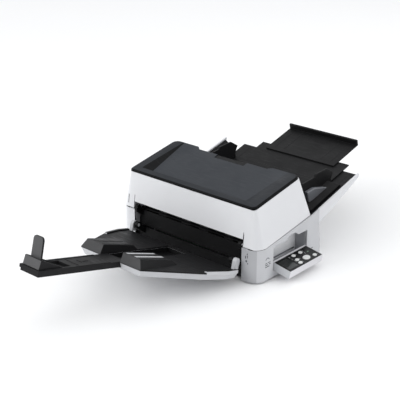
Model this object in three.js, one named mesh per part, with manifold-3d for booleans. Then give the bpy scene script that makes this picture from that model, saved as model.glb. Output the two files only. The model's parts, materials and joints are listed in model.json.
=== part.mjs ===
// A sheet fed document scanner: a base with the paper path, an upper unit that swings open towards
// the front, a folding stacker with a pull-out stop, a rear chute with side guides and extensions,
// and an operator panel that folds out of the right side. Millimetres, +Z up, +Y to the rear.
import * as THREE from 'three';
import { mergeGeometries, mergeVertices } from 'three/addons/utils/BufferGeometryUtils.js';
import Module from 'manifold-3d';

const wasm = await Module();
wasm.setup();

// ---- Driving dimensions -------------------------------------------------------------------

const HALF_WIDTH = 216;          // body, centre plane to side
const FRONT_Y = -216;            // front face of the two columns
const REAR_FOOT_Y = 33;          // rear wall at the bottom
const REAR_TOP_Y = 19;           // rear wall at chute height
const COLUMN_INNER_X = 171;      // inner side of a front column
const COLUMN_BACK_Y = -180;      // back of a front column
const COLUMN_RADIUS = 28;        // plan radius of the front corners
const WALL = 4;                  // housing wall
const FLOOR_Z = 4;               // underside of the housing
const GAP = 0.4;                 // clearance between neighbouring pieces

const SEAM_Z = 84;               // parting line on the columns
const SEAM_RAMP_Y = -185;        // where the parting line starts to climb
const SEAM_REAR_Y = -8;          // where it meets the chute rails
const SEAM_REAR_Z = 110;
const SEAM_GAP = 1.2;

const COVER_FRONT_Y = -203;      // front edge of the top cover
const COVER_FRONT_Z = 176;       // underside of the cover at that edge
const COVER_SLOPE = 0.192;       // rise per millimetre towards the rear
const COVER_HALF_WIDTH = 196;
const COVER_REAR_Y = -38;

const PANEL_BOTTOM_Z = 104;      // lower edge of the front panel, above the exit
const HINGE_Y = -211;            // axis of the upper unit
const HINGE_Z = 90.2;
const HINGE_ROUND = 5;

const PATH_REAR_Z = 96;          // paper path height at PATH_REAR_Y
const PATH_REAR_Y = 5;
const PATH_SLOPE = 0.061;
const PATH_FRONT_Y = -192;
const UPPER_GUIDE_LIFT = 3.5;    // paper path gap

const PIVOT_STACKER = [0, -226, 52];
const HINGE_PIN = 4;             // radius of the stacker's pins
const STACKER_TILT = THREE.MathUtils.degToRad(14.6);
const TRAY_TOP = -19;            // below the stacker pivot
const TRAY_LENGTH = 238;
const LIP_HALF_WIDTH = 93;
const STACKER_REAR_HALF = 178;
const CHANNEL_HALF_WIDTH = 31;
const ARM_HALF_WIDTH = 30;
const ARM_END = 466;             // tip of the extended arm, from the stacker pivot
const ARM_LENGTH = 250;
const FLAP_PIVOT = 450;

const CHUTE_Z = 88;
const CHUTE_TILT = THREE.MathUtils.degToRad(15);
const RAIL_TOP = 21;             // above the paper surface

const PANEL_PIVOT = [212, 0, 24];
const PANEL_TILT = THREE.MathUtils.degToRad(10);
const PANEL_Y0 = -155;
const PANEL_Y1 = -29;
const POCKET = { y0: -157, y1: -27, z0: 19, z1: 79.5, depth: 35 };

// ---- Materials ----------------------------------------------------------------------------

const finish = (color, roughness, metalness = 0) => ({ color, roughness, metalness });
const WHITE = finish(0xdcdddf, 0.45);
const GREY = finish(0xb6b7ba, 0.45);
const BLACK = finish(0x303234, 0.5);
const TOP_BLACK = finish(0x44474c, 0.35);
const RUBBER = finish(0x4a4a4c, 0.85);
const STEEL = finish(0xa9acb0, 0.35, 0.9);
const GLASS = finish(0x9fb2b0, 0.05);
const SCREEN = finish(0x2f3432, 0.15);
const BUTTON = finish(0xdadbdc, 0.4);

// ---- Geometry helpers ---------------------------------------------------------------------

/** A block between two corners. */
function block(x0, x1, y0, y1, z0, z1) {
  const geometry = new THREE.BoxGeometry(x1 - x0, y1 - y0, z1 - z0);
  return geometry.translate((x0 + x1) / 2, (y0 + y1) / 2, (z0 + z1) / 2);
}

function shapeOf(points) {
  return new THREE.Shape(points.map(([u, v]) => new THREE.Vector2(u, v)));
}

function extrude(shape, depth) {
  return new THREE.ExtrudeGeometry(shape, { depth, bevelEnabled: false, curveSegments: 8 });
}

/** An outline in (y, z), run along x from x0 to x1. */
function alongX(outline, x0, x1) {
  const shape = Array.isArray(outline) ? shapeOf(outline) : outline;
  const turn = new THREE.Matrix4().set(0, 0, 1, x0, 1, 0, 0, 0, 0, 1, 0, 0, 0, 0, 0, 1);
  return extrude(shape, x1 - x0).applyMatrix4(turn);
}

/** An outline in (x, z), run along y from y0 to y1. */
function alongY(outline, y0, y1) {
  const shape = Array.isArray(outline) ? shapeOf(outline) : outline;
  return extrude(shape, y1 - y0).rotateX(Math.PI / 2).translate(0, y1, 0);
}

/** An outline in (x, y), run up from z0 to z1. */
function alongZ(outline, z0, z1) {
  const shape = Array.isArray(outline) ? shapeOf(outline) : outline;
  return extrude(shape, z1 - z0).translate(0, 0, z0);
}

/** A round bar along x. */
function rodX(x0, x1, radius, y, z, segments = 20) {
  const geometry = new THREE.CylinderGeometry(radius, radius, x1 - x0, segments).rotateZ(Math.PI / 2);
  return geometry.translate((x0 + x1) / 2, y, z);
}

function rodZ(x, y, radius, z0, z1, segments = 20) {
  const geometry = new THREE.CylinderGeometry(radius, radius, z1 - z0, segments).rotateX(Math.PI / 2);
  return geometry.translate(x, y, (z0 + z1) / 2);
}

/** Plan outline with its own corner radii at the front and at the rear, as a list of points. */
function planRing(halfWidth, y0, y1, frontRadius, rearRadius, steps = 6) {
  const corners = [
    [halfWidth - frontRadius, y0 + frontRadius, frontRadius, -90],
    [halfWidth - rearRadius, y1 - rearRadius, rearRadius, 0],
    [-halfWidth + rearRadius, y1 - rearRadius, rearRadius, 90],
    [-halfWidth + frontRadius, y0 + frontRadius, frontRadius, 180],
  ];
  const points = [];
  for (const [cx, cy, radius, start] of corners) {
    for (let i = 0; i <= steps; i += 1) {
      const angle = THREE.MathUtils.degToRad(start + (90 * i) / steps);
      points.push([cx + radius * Math.cos(angle), cy + radius * Math.sin(angle)]);
    }
  }
  return points;
}

/** A closed solid between two convex rings that have the same number of [x, y, z] points. */
function loft(lower, upper) {
  const count = lower.length;
  const position = [...lower, ...upper].flat();
  const index = [];
  for (let i = 0; i < count; i += 1) {
    const next = (i + 1) % count;
    index.push(i, next, count + next, i, count + next, count + i);
  }
  for (let i = 1; i < count - 1; i += 1) {
    index.push(0, i + 1, i, count, count + i, count + i + 1);
  }
  const geometry = new THREE.BufferGeometry();
  geometry.setAttribute('position', new THREE.Float32BufferAttribute(position, 3));
  geometry.setIndex(index);
  return geometry;
}

/** A turned part on the x axis, from steps of [x0, x1, radius] that follow each other. */
function turnedX(steps, segments = 20) {
  const profile = [new THREE.Vector2(0, steps[0][0])];
  for (const [x0, x1, radius] of steps) {
    profile.push(new THREE.Vector2(radius, x0), new THREE.Vector2(radius, x1));
  }
  profile.push(new THREE.Vector2(0, steps.at(-1)[1]));
  return new THREE.LatheGeometry(profile, segments).rotateZ(-Math.PI / 2);
}

function solid(geometry) {
  const bare = geometry.clone();
  bare.deleteAttribute('normal');
  bare.deleteAttribute('uv');
  const merged = mergeVertices(bare, 1e-3);
  return new wasm.Manifold(new wasm.Mesh({
    numProp: 3,
    vertProperties: new Float32Array(merged.attributes.position.array),
    triVerts: new Uint32Array(merged.index.array),
  }));
}

function geometryOf(manifold) {
  const mesh = manifold.getMesh();
  const geometry = new THREE.BufferGeometry();
  geometry.setAttribute('position', new THREE.BufferAttribute(mesh.vertProperties, 3));
  geometry.setIndex(new THREE.BufferAttribute(mesh.triVerts, 1));
  return geometry;
}

function join(...geometries) {
  return geometries.map(solid).reduce((sum, next) => sum.add(next));
}

/** A solid less each of the cutters. */
function cut(body, ...cutters) {
  const start = body instanceof THREE.BufferGeometry ? solid(body) : body;
  return cutters.reduce((rest, cutter) => rest.subtract(solid(cutter)), start);
}

function add(parent, name, shape, look) {
  const geometry = shape instanceof THREE.BufferGeometry ? shape : geometryOf(shape);
  const mesh = new THREE.Mesh(geometry, new THREE.MeshStandardMaterial(look));
  mesh.name = name;
  parent.add(mesh);
  return mesh;
}

/** The same call for the right side (+1) and the left side (-1). */
function bothSides(make) {
  make('right', 1);
  make('left', -1);
}

function span(side, inner, outer) {
  return side > 0 ? [inner, outer] : [-outer, -inner];
}

const seamZ = (y) => SEAM_Z + Math.max(0, y - SEAM_RAMP_Y)
  * (SEAM_REAR_Z - SEAM_Z) / (SEAM_REAR_Y - SEAM_RAMP_Y);
const coverZ = (y) => COVER_FRONT_Z + COVER_SLOPE * (y - COVER_FRONT_Y);
const pathZ = (y) => PATH_REAR_Z + PATH_SLOPE * (y - PATH_REAR_Y);

// ---- Rollers: where they sit along the paper path -----------------------------------------

const NIP_LIFT = 1.2;            // above the lower guide
const TYRES = [[-118, -92], [-42, -14], [14, 42], [92, 118]];
const LOWER_ROLLERS = {
  pick_roller: { y: -22, radius: 14, tyres: TYRES.slice(1, 3) },
  feed_roller: { y: -82, radius: 10, tyres: TYRES },
  eject_roller: { y: -176, radius: 9, tyres: TYRES },
};
const UPPER_ROLLERS = {
  brake_roller: { y: -50, radius: 12, tyres: TYRES.slice(1, 3) },
  feed_idler: { y: -82, radius: 8, tyres: TYRES },
  eject_idler: { y: -176, radius: 7, tyres: TYRES },
};
const SHAFT_RADIUS = 3.5;
const PULLEY_RADIUS = 7.5;
const PULLEY_X = [-169, -164];
const MOTOR = { y: -58, z: 42 };

for (const roller of Object.values(LOWER_ROLLERS)) {
  roller.z = pathZ(roller.y) + NIP_LIFT - roller.radius;
}
for (const roller of Object.values(UPPER_ROLLERS)) {
  roller.z = pathZ(roller.y) + NIP_LIFT + GAP + roller.radius;
}

/** Windows through a guide plate for the tyres of a set of rollers. */
function tyreWindows(rollers, margin, z0, z1) {
  const windows = [];
  for (const { y, radius, tyres } of Object.values(rollers)) {
    for (const [x0, x1] of tyres) {
      windows.push(block(x0 - margin, x1 + margin, y - radius - margin, y + radius + margin, z0, z1));
    }
  }
  return windows;
}

function addRollers(parent, rollers, shaftEnd, pulley) {
  for (const [name, { y, z, radius, tyres }] of Object.entries(rollers)) {
    const steps = [];
    let x = -shaftEnd;
    const collars = pulley ? [[...PULLEY_X, PULLEY_RADIUS]] : [];
    for (const [x0, x1, r] of [...collars, ...tyres.map((tyre) => [...tyre, radius])]) {
      steps.push([x, x0, SHAFT_RADIUS], [x0, x1, r]);
      x = x1;
    }
    steps.push([x, shaftEnd, SHAFT_RADIUS]);
    add(parent, name, turnedX(steps), RUBBER).position.set(0, y, z);
  }
}

// ---- Base ---------------------------------------------------------------------------------

const RAIL_REAR_Y = 184;
const railZ = (y) => SEAM_REAR_Z + (y - SEAM_REAR_Y) * Math.tan(CHUTE_TILT);

function addBaseHousing(parent) {
  const plan = alongZ(planRing(HALF_WIDTH, FRONT_Y, REAR_FOOT_Y, COLUMN_RADIUS, 8), FLOOR_Z, 130);
  const side = alongX([
    [FRONT_Y - 1, FLOOR_Z], [REAR_FOOT_Y, FLOOR_Z], [REAR_TOP_Y, 83], [REAR_TOP_Y, railZ(REAR_TOP_Y)],
    [SEAM_REAR_Y, SEAM_REAR_Z], [SEAM_RAMP_Y, SEAM_Z], [FRONT_Y - 1, SEAM_Z],
  ], -HALF_WIDTH, HALF_WIDTH);
  const inner = HALF_WIDTH - WALL;
  const top = 140;
  const fingerNotch = alongX([[-108, 79], [-62, 79], [-74, 88], [-96, 88]], 200, 220);
  const shell = cut(
    solid(plan).intersect(solid(side)),
    block(-COLUMN_INNER_X, COLUMN_INNER_X, -201, COLUMN_BACK_Y + 1, 0, top),
    block(-inner, inner, COLUMN_BACK_Y, 13, 0, top),
    block(-170, 170, FRONT_Y - 4, -205, 0, top),
    block(-COLUMN_INNER_X, COLUMN_INNER_X, -208, -200, 40, top),
    block(-inner, inner, 12, 40, 72, top),
    block(200, 220, POCKET.y0, POCKET.y1, POCKET.z0, POCKET.z1),
    fingerNotch,
    block(-120, -8, 10, 40, 12, 50),
  );
  const lugs = [stackerLug(146, 156), stackerLug(-156, -146)];
  add(parent, 'base_housing', lugs.reduce((sum, lug) => sum.add(lug), shell), GREY);
}

/** A lug on the low front wall, bored for a stacker pin. */
function stackerLug(x0, x1) {
  const [, y, z] = PIVOT_STACKER;
  const outline = new THREE.Shape();
  outline.moveTo(-202, 22);
  outline.lineTo(-202, 40);
  outline.lineTo(y + 7.5, z);
  outline.absarc(y, z, 7.5, 0, Math.PI, false);
  outline.lineTo(y - 5, z - 8);
  return cut(alongX(outline, x0, x1), rodX(x0 - 1, x1 + 1, HINGE_PIN + GAP, y, z));
}

function addBottom(parent) {
  const inset = WALL + GAP;
  const plate = join(
    block(-HALF_WIDTH + inset, HALF_WIDTH - inset, COLUMN_BACK_Y + GAP, 12.5, FLOOR_Z, FLOOR_Z + 2),
    block(-COLUMN_INNER_X + 1, COLUMN_INNER_X - 1, -200.5, COLUMN_BACK_Y + 2, FLOOR_Z, FLOOR_Z + 2),
  );
  add(parent, 'bottom_plate', plate, STEEL);
  bothSides((side, sign) => {
    add(parent, `foot_front_${side}`, rodZ(sign * 192, -194, 11, 0, FLOOR_Z - 0.3), RUBBER);
    add(parent, `foot_rear_${side}`, rodZ(sign * 192, 0, 11, 0, FLOOR_Z - 0.3), RUBBER);
  });
}

function addPocketLiner(parent) {
  const { y0, y1, z0, z1, depth } = POCKET;
  const innerX = HALF_WIDTH - depth;
  const outerX = HALF_WIDTH - WALL - 1.6;
  const liner = cut(
    block(innerX - 2, outerX, y0 - 2, y1 + 2, z0 - 2, z1 + 10.5),
    block(innerX, outerX + 1, y0, y1, z0, z1 + 9),
  );
  add(parent, 'panel_pocket', liner, GREY);
}

function addFrames(parent) {
  bothSides((side, sign) => {
    const [x0, x1] = span(sign, 172, 175);
    const plate = alongX([
      [-178, 8], [10, 8], [10, 60], [0, pathZ(0) - 5], [-178, pathZ(-178) - 5],
    ], x0, x1);
    const bore = SHAFT_RADIUS + 0.1;
    const holes = Object.values(LOWER_ROLLERS).map(({ y, z }) => rodX(x0 - 1, x1 + 1, bore, y, z));
    add(parent, `frame_${side}`, cut(plate, ...holes), STEEL);
  });
}

function addLowerGuide(parent) {
  const sheet = 2.5;
  const top = [[PATH_FRONT_Y, pathZ(PATH_FRONT_Y)], [PATH_REAR_Y - 1, pathZ(PATH_REAR_Y)]];
  const profile = [
    [top[0][0], top[0][1] - sheet], [top[1][0], top[1][1] - sheet], top[1], top[0],
  ];
  const guide = cut(
    alongX(profile, -211, 211),
    block(169, 220, PATH_FRONT_Y - 5, COLUMN_BACK_Y + 1, 60, 110),
    block(-220, -169, PATH_FRONT_Y - 5, COLUMN_BACK_Y + 1, 60, 110),
    block(176, 220, POCKET.y0 - 4, POCKET.y1 + 4, 60, 94),
    block(-162, 162, -128, -102, 60, 110),
    block(PULLEY_X[0] - 1.5, PULLEY_X[1] + 1.5, -187, -6, 60, 110),
    ...tyreWindows(LOWER_ROLLERS, 1.5, 60, 110),
  );
  add(parent, 'lower_paper_guide', guide, BLACK);
  const glassTop = pathZ(-115);
  add(parent, 'lower_glass', block(-161, 161, -127, -103, glassTop - 2.6, glassTop - 0.2), GLASS);
  add(parent, 'lower_scan_unit', cut(
    block(-161, 161, -127, -103, 36, glassTop - 3),
    block(-157, 157, -123, -107, 40, 110),
  ), BLACK);
}

function addExitPanel(parent) {
  const sheet = 2.5;
  const web = alongX([
    [-199.5, 41], [-196.5, 41], [-193.5, 80], [-196.5, 80],
  ], -169, 169);
  const lugOutline = new THREE.Shape();
  lugOutline.moveTo(-198, 66);
  lugOutline.lineTo(-194, 66);
  lugOutline.lineTo(-194, 80);
  lugOutline.lineTo(HINGE_Y + 7, HINGE_Z);
  lugOutline.absarc(HINGE_Y, HINGE_Z, 7, 0, Math.PI, false);
  lugOutline.lineTo(HINGE_Y - 7, 82);
  const panel = join(web, alongX(lugOutline, 160, 168), alongX(lugOutline, -168, -160));
  const bore = rodX(-169, 169, sheet + 0.4, HINGE_Y, HINGE_Z, 16);
  add(parent, 'exit_panel', cut(panel, bore), BLACK);
}

/** The outline of a belt round several pulleys: the hull of their circles. */
function hullOutline(centres, radius, steps = 24) {
  const points = [];
  for (const { y, z } of centres) {
    for (let i = 0; i < steps; i += 1) {
      const angle = (2 * Math.PI * i) / steps;
      points.push([y + radius * Math.cos(angle), z + radius * Math.sin(angle)]);
    }
  }
  points.sort((a, b) => a[0] - b[0] || a[1] - b[1]);
  const half = (list) => {
    const chain = [];
    for (const p of list) {
      while (chain.length > 1 && turn(chain.at(-2), chain.at(-1), p) <= 1e-6) chain.pop();
      chain.push(p);
    }
    return chain.slice(0, -1);
  };
  return [...half(points), ...half([...points].reverse())];
}

function turn(a, b, c) {
  return (b[0] - a[0]) * (c[1] - a[1]) - (b[1] - a[1]) * (c[0] - a[0]);
}

function addDrive(parent) {
  const { y, z } = MOTOR;
  add(parent, 'feed_motor', turnedX([[-154, -108, 18], [-108, -104, 6]]), STEEL).position.set(0, y, z);
  add(parent, 'motor_pulley', turnedX([[...PULLEY_X, PULLEY_RADIUS], [PULLEY_X[1], -155, 3]]), STEEL)
    .position.set(0, y, z);
  const pulleys = [MOTOR, ...Object.values(LOWER_ROLLERS)];
  const belt = shapeOf(hullOutline(pulleys, PULLEY_RADIUS + 1.8));
  belt.holes.push(new THREE.Path(hullOutline(pulleys, PULLEY_RADIUS + 0.6)
    .map(([u, v]) => new THREE.Vector2(u, v))));
  add(parent, 'drive_belt', alongX(belt, PULLEY_X[0] + 0.5, PULLEY_X[1] - 0.5), RUBBER);
}

function addElectrics(parent) {
  add(parent, 'power_supply', block(30, 160, -70, 0, 9, 42), STEEL);
  add(parent, 'main_board', block(-150, 20, -160, -84, 12, 14), finish(0x2f6b45, 0.6));
  const window = { x0: -124, x1: -4, z0: 8, z1: 54 };
  const panel = cut(
    block(window.x0, window.x1, 8.5, 11.5, window.z0, window.z1),
    block(-112, -82, 5, 15, 18, 40),
    block(-66, -50, 5, 15, 19, 39),
    block(-36, -20, 5, 15, 20, 34),
  );
  add(parent, 'rear_connector_panel', panel, BLACK);
  add(parent, 'power_inlet', cut(
    block(-111.6, -82.4, -8, 14, 18.4, 39.6),
    block(-108.5, -85.5, -2, 15, 21.5, 36.5),
  ), BLACK);
  add(parent, 'usb_port', cut(
    block(-35.6, -20.4, -4, 13, 20.4, 33.6),
    block(-33.5, -22.5, 0, 14, 22.5, 31.5),
  ), STEEL);
}

function addPowerSwitch(parent) {
  const rocker = alongX([
    [2, 21], [12.5, 21], [13, 29], [15, 37], [2, 37],
  ], -65, -51);
  add(parent, 'power_switch', rocker, BLACK);
}

// ---- Upper unit ---------------------------------------------------------------------------

const SHELL_BASE_Z = 84;
const SHELL_REAR_BASE_Y = 0.4;   // rear edge of the side panels at that height

/** The tapered outer form, or the same form drawn in by a wall and carried above the rim. */
function shellSolid(inset, rise = 0) {
  const rear = SHELL_REAR_BASE_Y - inset;
  const low = planRing(HALF_WIDTH - inset, FRONT_Y + inset, rear, COLUMN_RADIUS - inset, 6);
  const high = planRing(COVER_HALF_WIDTH - inset, COVER_FRONT_Y - 1 + inset, COVER_REAR_Y - inset, 9, 6);
  return loft(
    low.map(([x, y]) => [x, y, SHELL_BASE_Z]),
    high.map(([x, y]) => [x, y, coverZ(y) + rise]),
  );
}

function addUpperShell(parent) {
  const belowSeam = [
    [FRONT_Y - 20, 40], [20, 40], [20, seamZ(20) + SEAM_GAP],
    [SEAM_RAMP_Y, SEAM_Z + SEAM_GAP], [FRONT_Y - 20, SEAM_Z + SEAM_GAP],
  ];
  const columns = join(
    block(COLUMN_INNER_X - 3, 230, FRONT_Y - 2, COLUMN_BACK_Y, 60, 150),
    block(-230, 3 - COLUMN_INNER_X, FRONT_Y - 2, COLUMN_BACK_Y, 60, 150),
  );
  const hollow = solid(shellSolid(3.5, 4)).subtract(columns);
  const frontEdge = cut(
    block(-230, 230, FRONT_Y - 10, HINGE_Y, 70, HINGE_Z),
    rodX(-230, 230, HINGE_ROUND, HINGE_Y, HINGE_Z, 32),
  );
  const shell = cut(
    solid(shellSolid(0)).subtract(hollow).subtract(frontEdge),
    alongX(belowSeam, -230, 230),
    block(-COLUMN_INNER_X, COLUMN_INNER_X, FRONT_Y - 5, COLUMN_BACK_Y + 1, 60, PANEL_BOTTOM_Z),
    block(COLUMN_INNER_X, COLUMN_INNER_X + 2, FRONT_Y - 5, -200, 60, PANEL_BOTTOM_Z + 17),
    block(-COLUMN_INNER_X - 2, -COLUMN_INNER_X, FRONT_Y - 5, -200, 60, PANEL_BOTTOM_Z + 17),
    block(-190, 190, -60, 20, 60, 201),
    block(-130, 130, -60, 20, 190, 220),
  );
  const pins = join(...[164, -180].map((x) => rodX(x, x + 16, 2.5, HINGE_Y, HINGE_Z, 16)));
  add(parent, 'upper_shell', shell.add(pins), WHITE);
}

function addTopCover(parent) {
  const depth = (COVER_REAR_Y - COVER_FRONT_Y) / Math.cos(Math.atan(COVER_SLOPE));
  const cover = new THREE.Group();
  cover.position.set(0, COVER_FRONT_Y, COVER_FRONT_Z);
  cover.rotation.x = Math.atan(COVER_SLOPE);
  const ring = (inset, z) => planRing(COVER_HALF_WIDTH - inset, -1 + inset, depth + 3 - inset, 9, 15)
    .map(([x, y]) => [x, y, z]);
  const slab = solid(loft(ring(0, GAP), ring(0.6, 4))).add(solid(loft(ring(0.6, 4), ring(3.5, 6.4))));
  const boss = block(-182, 182, 12, depth - 14, -9, 2);
  const recess = loft(
    [[-145, 26, -3], [145, 26, -3], [166, depth + 20, 6.6], [-166, depth + 20, 6.6]],
    [[-226, -2, 30], [226, -2, 30], [226, depth + 30, 30], [-226, depth + 30, 30]],
  );
  const notch = alongZ([
    [-128, depth + 10], [-106, depth - 8], [106, depth - 8], [128, depth + 10],
  ], -20, 20);
  const release = block(-46, 46, depth - 22, depth + 10, -20, 20);
  add(cover, 'top_cover', cut(slab.add(solid(boss)), recess, notch, release), TOP_BLACK);
  const lever = alongX([
    [depth - 21, 1], [depth - 21, 3.5], [depth - 9, 3.5],
    [depth - 7, -8], [depth - 9.5, -8], [depth - 11.5, 1],
  ], -45.4, 45.4);
  add(cover, 'release_lever', lever, BLACK);
  parent.add(cover);
}

function addUpperGuide(parent) {
  const sheet = 2.5;
  const y0 = -188;
  const y1 = -16;
  const z0 = pathZ(y0) + UPPER_GUIDE_LIFT;
  const z1 = pathZ(y1) + UPPER_GUIDE_LIFT;
  const plate = alongX([[y0, z0], [y1, z1], [y1, z1 + sheet], [y0, z0 + sheet]], -165, 165);
  const flange = [[y0 + 2, z0 + 1], [y1 - 2, z1 + 1], [y1 - 12, z1 + 26], [y0 + 4, z0 + 20]];
  const body = join(plate, alongX(flange, 162, 165), alongX(flange, -165, -162));
  const bores = Object.values(UPPER_ROLLERS).map(({ y, z }) => rodX(-170, 170, SHAFT_RADIUS + 0.1, y, z));
  add(parent, 'upper_paper_guide', cut(
    body,
    ...bores,
    ...tyreWindows(UPPER_ROLLERS, 1.5, 60, 101.5),
    block(-157, 157, -154, -130, 60, 110),
  ), BLACK);
  const glassZ = pathZ(-142) + UPPER_GUIDE_LIFT;
  add(parent, 'upper_glass', block(-156, 156, -153, -131, glassZ + 0.4, glassZ + 2.8), GLASS);
  add(parent, 'upper_scan_unit', block(-156, 156, -153, -131, glassZ + 3.2, glassZ + 46), BLACK);
}

function addRearGuide(parent) {
  const outline = [
    [-43, 199], [-46.2, 199], [-17.5, 104], [-14, 101.5], [-11, 104],
  ];
  const leverRoom = block(-48, 48, -60, -30, 188, 210);
  add(parent, 'rear_guide', cut(alongX(outline, -189, 189), leverRoom), BLACK);
}

// ---- Stacker ------------------------------------------------------------------------------

/** Plan of the stacker, pulled in by inset: a wing on each side, narrowest at the front lips. */
function stackerOutline(inset, start, end) {
  const right = [
    [STACKER_REAR_HALF - inset, -start],
    [STACKER_REAR_HALF - inset, -40],
    [STACKER_REAR_HALF - 15 - inset, -98],
    [LIP_HALF_WIDTH - inset, -end],
  ];
  const left = right.map(([x, y]) => [-x, y]).reverse();
  return [...left, ...right].reverse();
}

/** The raised rim along the shell's rear corner; the tray is cut back round a larger one. */
function cornerRim(side, outer, inner, grow) {
  const plan = [
    [outer, -5 + grow], [outer, -40], [outer - 15, -98 - grow],
    [inner - 15, -98 - grow], [inner, -40], [inner, -5 + grow],
  ].map(([x, y]) => [side * x, y]);
  return alongZ(plan, TRAY_TOP - 5, TRAY_TOP + 3 + grow);
}

function addStacker(parent) {
  const channel = [CHANNEL_HALF_WIDTH, TRAY_LENGTH + 5];
  const rimOuter = STACKER_REAR_HALF - 1;
  const rimInner = STACKER_REAR_HALF - 8;
  const plate = alongZ(stackerOutline(0, 4, TRAY_LENGTH), TRAY_TOP - 3, TRAY_TOP);
  const lip = [
    [-118, TRAY_TOP - 1], [-238, TRAY_TOP - 1], [-232, TRAY_TOP + 20], [-135, TRAY_TOP + 11],
  ];
  const flank = (side) => alongY([[side * 94, TRAY_TOP - 2], [side * 130, TRAY_TOP - 2],
    [side * 130, TRAY_TOP + 30], [side * 77, TRAY_TOP + 30]], -250, -110);
  const ramp = (side) => alongX(lip, ...span(side, CHANNEL_HALF_WIDTH, 110));
  const lips = [1, -1].map((side) => cut(ramp(side), flank(side)));
  const tray = cut(
    lips.reduce((sum, next) => sum.add(next), solid(plate)),
    block(-channel[0], channel[0], -channel[1], -14, TRAY_TOP - 10, TRAY_TOP + 30),
    cornerRim(1, STACKER_REAR_HALF + 4, rimInner - GAP, GAP),
    cornerRim(-1, STACKER_REAR_HALF + 4, rimInner - GAP, GAP),
  );
  add(parent, 'stacker_tray', tray, BLACK);
  const shellTop = TRAY_TOP - 3.4;
  const low = stackerOutline(7, 8, TRAY_LENGTH - 8).map(([x, y]) => [x, y, shellTop - 14]);
  const high = stackerOutline(1, 5, TRAY_LENGTH - 1).map(([x, y]) => [x, y, shellTop]);
  const shell = cut(
    join(loft(low, high), cornerRim(1, rimOuter, rimInner, 0), cornerRim(-1, rimOuter, rimInner, 0)),
    block(-channel[0], channel[0], -channel[1], -14, shellTop - 11, shellTop + 5),
  );
  add(parent, 'stacker_shell', shell, GREY);
  bothSides((side, sign) => {
    const [x0, x1] = span(sign, 158, 168);
    const ear = new THREE.Shape();
    ear.moveTo(-8, TRAY_TOP + GAP);
    ear.lineTo(6, TRAY_TOP + GAP);
    ear.lineTo(8, 0);
    ear.absarc(0, 0, 8, 0, Math.PI, false);
    const [p0, p1] = span(sign, 145, 159);
    add(parent, `stacker_hinge_${side}`, join(alongX(ear, x0, x1), rodX(p0, p1, HINGE_PIN, 0, 0)), GREY);
  });
}

function addStackerArm(parent) {
  const top = TRAY_TOP - 0.6;
  const bottom = top - 13;
  const tail = ARM_END - ARM_LENGTH;
  const arm = cut(
    block(-ARM_HALF_WIDTH, ARM_HALF_WIDTH, -ARM_END, -tail, bottom, top),
    block(-20, 20, -457, -372, top - 7, top + 1),
    block(-ARM_HALF_WIDTH - 1, -26, -ARM_END - 1, -ARM_END + 8, bottom - 1, bottom + 5),
  );
  add(parent, 'stacker_arm', arm, BLACK);
  const side = [[-463, top + GAP], [-395, top + GAP], [-455, top + 20], [-459, top + 20]];
  const tip = cut(
    alongX(side, -25, 25),
    block(-19.5, 19.5, -456, -380, top - 1, top + 30),
  );
  add(parent, 'stacker_tip', tip, BLACK);
}

function addStopperFlap(parent) {
  const width = 16;
  const outline = new THREE.Shape();
  outline.moveTo(-width, 0);
  outline.lineTo(width, 0);
  outline.lineTo(width - 1, 62);
  outline.absarc(width - 9, 62, 8, 0, Math.PI / 2, false);
  outline.absarc(9 - width, 62, 8, Math.PI / 2, Math.PI, false);
  add(parent, 'stopper_flap', alongY(outline, -FLAP_PIVOT - 2.5, -FLAP_PIVOT + 2.5)
    .translate(0, 0, TRAY_TOP - 6.2), BLACK);
}

// ---- Rear chute ---------------------------------------------------------------------------

const CHUTE_END = 190;
const BED_END = 236;
const FLOOR_TOP = -13.5;

function addChute(parent, chute) {
  const cheek = [
    [REAR_TOP_Y + GAP, 81], [67, 100], [171, 147], [RAIL_REAR_Y, 154],
    [RAIL_REAR_Y, railZ(RAIL_REAR_Y)], [REAR_TOP_Y + GAP, railZ(REAR_TOP_Y)],
  ];
  const floor = alongX([
    [24, FLOOR_TOP - 2.5], [BED_END, FLOOR_TOP - 2.5], [BED_END, FLOOR_TOP], [24, FLOOR_TOP],
  ], -186, 186);
  const place = new THREE.Matrix4().makeRotationX(CHUTE_TILT).setPosition(0, 0, CHUTE_Z);
  const flange = (sign) => {
    const section = [[sign * 186, FLOOR_TOP - 2.5], [sign * 186, FLOOR_TOP],
      [sign * 212, RAIL_TOP - 4], [sign * 212, RAIL_TOP - 8]];
    return alongY(sign > 0 ? section.reverse() : section, 24, CHUTE_END).applyMatrix4(place);
  };
  const shell = join(
    alongX(cheek, HALF_WIDTH - 5, HALF_WIDTH),
    alongX(cheek, -HALF_WIDTH, 5 - HALF_WIDTH),
    flange(1),
    flange(-1),
    floor.applyMatrix4(place),
  );
  add(parent, 'chute_shell', shell, WHITE);
  bothSides((side, sign) => {
    const section = [[sign * 187, -4], [sign * 187, 1], [sign * 210.5, RAIL_TOP - 1],
      [sign * 210.5, RAIL_TOP - 3]];
    const liner = alongY(sign > 0 ? section.reverse() : section, 26, CHUTE_END);
    add(chute, `chute_liner_${side}`, liner, BLACK);
  });
}

function addLiftPlate(parent) {
  add(parent, 'lift_plate', block(-184, 184, 10, 160, -3, 0), BLACK);
}

function addGuides(parent) {
  bothSides((side, sign) => {
    const [x0, x1] = span(sign, 152, 156);
    const fence = alongX([
      [22, GAP], [157, GAP], [159, 12], [172, 26], [150, 49], [104, 59], [99, 54], [50, 63], [22, 46],
    ], x0, x1);
    const section = [[sign * 155, GAP], [sign * 183, GAP], [sign * 183, 4], [sign * 155, 16]];
    const gusset = alongY(sign < 0 ? section.reverse() : section, 34, 160);
    const relief = alongX([[100, 60], [170, 60], [170, 4], [158, 4]], ...span(sign, 156, 190));
    add(parent, `side_guide_${side}`, join(fence, gusset).subtract(solid(relief)), BLACK);
  });
}

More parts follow.
